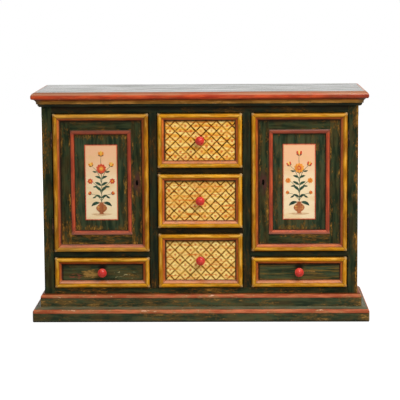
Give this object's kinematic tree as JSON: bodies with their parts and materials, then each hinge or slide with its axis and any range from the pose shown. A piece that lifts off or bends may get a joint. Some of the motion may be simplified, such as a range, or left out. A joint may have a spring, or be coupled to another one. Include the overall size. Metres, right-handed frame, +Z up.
{
  "type": "credenza",
  "caption": "Low painted credenza with panelled cupboard doors beside a centre stack of drawers, more drawers below, a moulded top and a stepped plinth.",
  "frame": {"origin": "on the floor, in the middle of the overall width and depth", "axes": "X along the width to the right seen from the front, Y from the front to the back, Z up"},
  "size_m": [1.315, 0.4676, 0.897],
  "materials": {
    "green_paint": "brushed dark green paint, rubbed through to ochre and brown at the edges",
    "panel_paint": "brushed dark green paint with a painted flower panel",
    "ochre_and_red_paint": "ochre round with a brick red bevel, worn satin paint",
    "red_paint": "worn brick red satin paint",
    "buff_paint": "buff ground with a dark green lattice and red dots",
    "green_varnish": "varnished dark green top with a red painted edge",
    "cornice_paint": "ochre cove over a dark green foot, worn satin paint",
    "plinth_paint": "dark green paint with red painted upper edges",
    "bare_pine": "bare aged pine",
    "dark_iron": "dark aged iron"
  },
  "bodies": {
    "carcass": {"back_boards": "bare_pine", "base_front": "plinth_paint", "base_sides": "plinth_paint", "bottom_board": "bare_pine", "bottom_rail": "green_paint", "centre_rails": "green_paint", "cornice_front": "cornice_paint", "cornice_sides": "cornice_paint", "cupboard_floors": "bare_pine", "door_rails": "green_paint", "door_stops": "bare_pine", "drawer_runners": "bare_pine", "hinge_frame_leaves": "dark_iron", "left_side": "green_paint", "mullions": "green_paint", "partitions": "bare_pine", "right_side": "green_paint", "shelf_battens": "bare_pine", "shelves": "bare_pine", "skirt_front": "plinth_paint", "skirt_sides": "plinth_paint", "stiles": "green_paint", "top_board": "green_varnish", "top_rail": "green_paint"},
    "centre_drawer_1": {"centre_drawer_1_box": "bare_pine", "centre_drawer_1_front": "buff_paint", "centre_drawer_1_knob": "red_paint", "centre_drawer_1_moulding": "ochre_and_red_paint"},
    "centre_drawer_2": {"centre_drawer_2_box": "bare_pine", "centre_drawer_2_front": "buff_paint", "centre_drawer_2_knob": "red_paint", "centre_drawer_2_moulding": "ochre_and_red_paint"},
    "centre_drawer_3": {"centre_drawer_3_box": "bare_pine", "centre_drawer_3_front": "buff_paint", "centre_drawer_3_knob": "red_paint", "centre_drawer_3_moulding": "ochre_and_red_paint"},
    "left_door": {"left_door_bead": "red_paint", "left_door_frame": "green_paint", "left_door_moulding": "ochre_and_red_paint", "left_door_panel": "panel_paint", "left_hinge_door_leaves": "dark_iron", "left_lock_case": "dark_iron"},
    "left_drawer": {"left_drawer_box": "bare_pine", "left_drawer_front": "green_paint", "left_drawer_knob": "red_paint", "left_drawer_moulding": "ochre_and_red_paint"},
    "left_bolt": {"left_lock_bolt": "dark_iron"},
    "right_door": {"right_door_bead": "red_paint", "right_door_frame": "green_paint", "right_door_moulding": "ochre_and_red_paint", "right_door_panel": "panel_paint", "right_hinge_door_leaves": "dark_iron", "right_lock_case": "dark_iron"},
    "right_drawer": {"right_drawer_box": "bare_pine", "right_drawer_front": "green_paint", "right_drawer_knob": "red_paint", "right_drawer_moulding": "ochre_and_red_paint"},
    "right_bolt": {"right_lock_bolt": "dark_iron"}
  },
  "joints": [
    {"name": "left_door_hinge", "type": "hinge", "parent": "carcass", "child": "left_door", "pos_m": [-0.5746, -0.19165, 0.54325], "axis": [0, 0, -1], "range_deg": [0, 110]},
    {"name": "left_bolt_slide", "type": "slide", "parent": "left_door", "child": "left_bolt", "axis": [1, 0, 0], "range_m": [0, 0.008]},
    {"name": "right_door_hinge", "type": "hinge", "parent": "carcass", "child": "right_door", "pos_m": [0.5746, -0.19165, 0.54325], "axis": [0, 0, 1], "range_deg": [0, 110]},
    {"name": "right_bolt_slide", "type": "slide", "parent": "right_door", "child": "right_bolt", "axis": [-1, 0, 0], "range_m": [0, 0.008]},
    {"name": "centre_drawer_1_slide", "type": "slide", "parent": "carcass", "child": "centre_drawer_1", "axis": [0, -1, 0], "range_m": [0, 0.29]},
    {"name": "centre_drawer_2_slide", "type": "slide", "parent": "carcass", "child": "centre_drawer_2", "axis": [0, -1, 0], "range_m": [0, 0.29]},
    {"name": "centre_drawer_3_slide", "type": "slide", "parent": "carcass", "child": "centre_drawer_3", "axis": [0, -1, 0], "range_m": [0, 0.29]},
    {"name": "left_drawer_slide", "type": "slide", "parent": "carcass", "child": "left_drawer", "axis": [0, -1, 0], "range_m": [0, 0.29]},
    {"name": "right_drawer_slide", "type": "slide", "parent": "carcass", "child": "right_drawer", "axis": [0, -1, 0], "range_m": [0, 0.29]}
  ]
}
